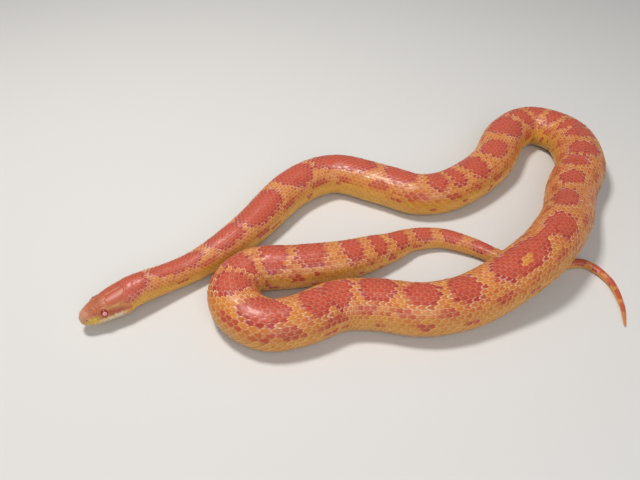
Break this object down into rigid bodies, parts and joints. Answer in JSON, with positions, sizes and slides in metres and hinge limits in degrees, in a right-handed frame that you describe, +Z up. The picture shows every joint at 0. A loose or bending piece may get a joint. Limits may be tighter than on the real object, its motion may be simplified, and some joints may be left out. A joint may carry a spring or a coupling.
{
  "type": "corn snake",
  "caption": "Life-size model of an albino corn snake at rest, orange with red saddles, lying in loose bends with its body over its tail.",
  "frame": {"origin": "middle of the floor area that the snake covers, on the floor", "axes": "+Z up from the floor, +X along the longer side of the area covered, away from the head"},
  "size_m": [0.3538, 0.2522, 0.0349],
  "materials": {
    "body_skin": "satin scales, orange ground with red saddles and pale scale edges",
    "head_skin": "smooth glossy head plates, orange red above, yellow and cream on the lips",
    "chin_skin": "smooth pale chin and lip plates",
    "tail_skin": "satin scales, orange with small red saddles",
    "belly_skin": "glossy wide belly scutes, cream to pale orange",
    "eye": "clear wet gloss, red iris and pink pupil"
  },
  "bodies": {
    "root": {"head": "head_skin", "lower_jaw": "chin_skin", "eye_left": "eye", "eye_right": "eye", "neck": "body_skin", "torso_01": "body_skin", "torso_02": "body_skin", "torso_03": "body_skin", "torso_04": "body_skin", "torso_05": "body_skin", "torso_06": "body_skin", "torso_07": "body_skin", "torso_08": "body_skin", "torso_09": "body_skin", "torso_10": "body_skin", "torso_11": "body_skin", "torso_12": "body_skin", "vent": "body_skin", "tail_01": "tail_skin", "tail_02": "tail_skin", "tail_03": "tail_skin", "tail_tip": "tail_skin"}
  },
  "joints": []
}
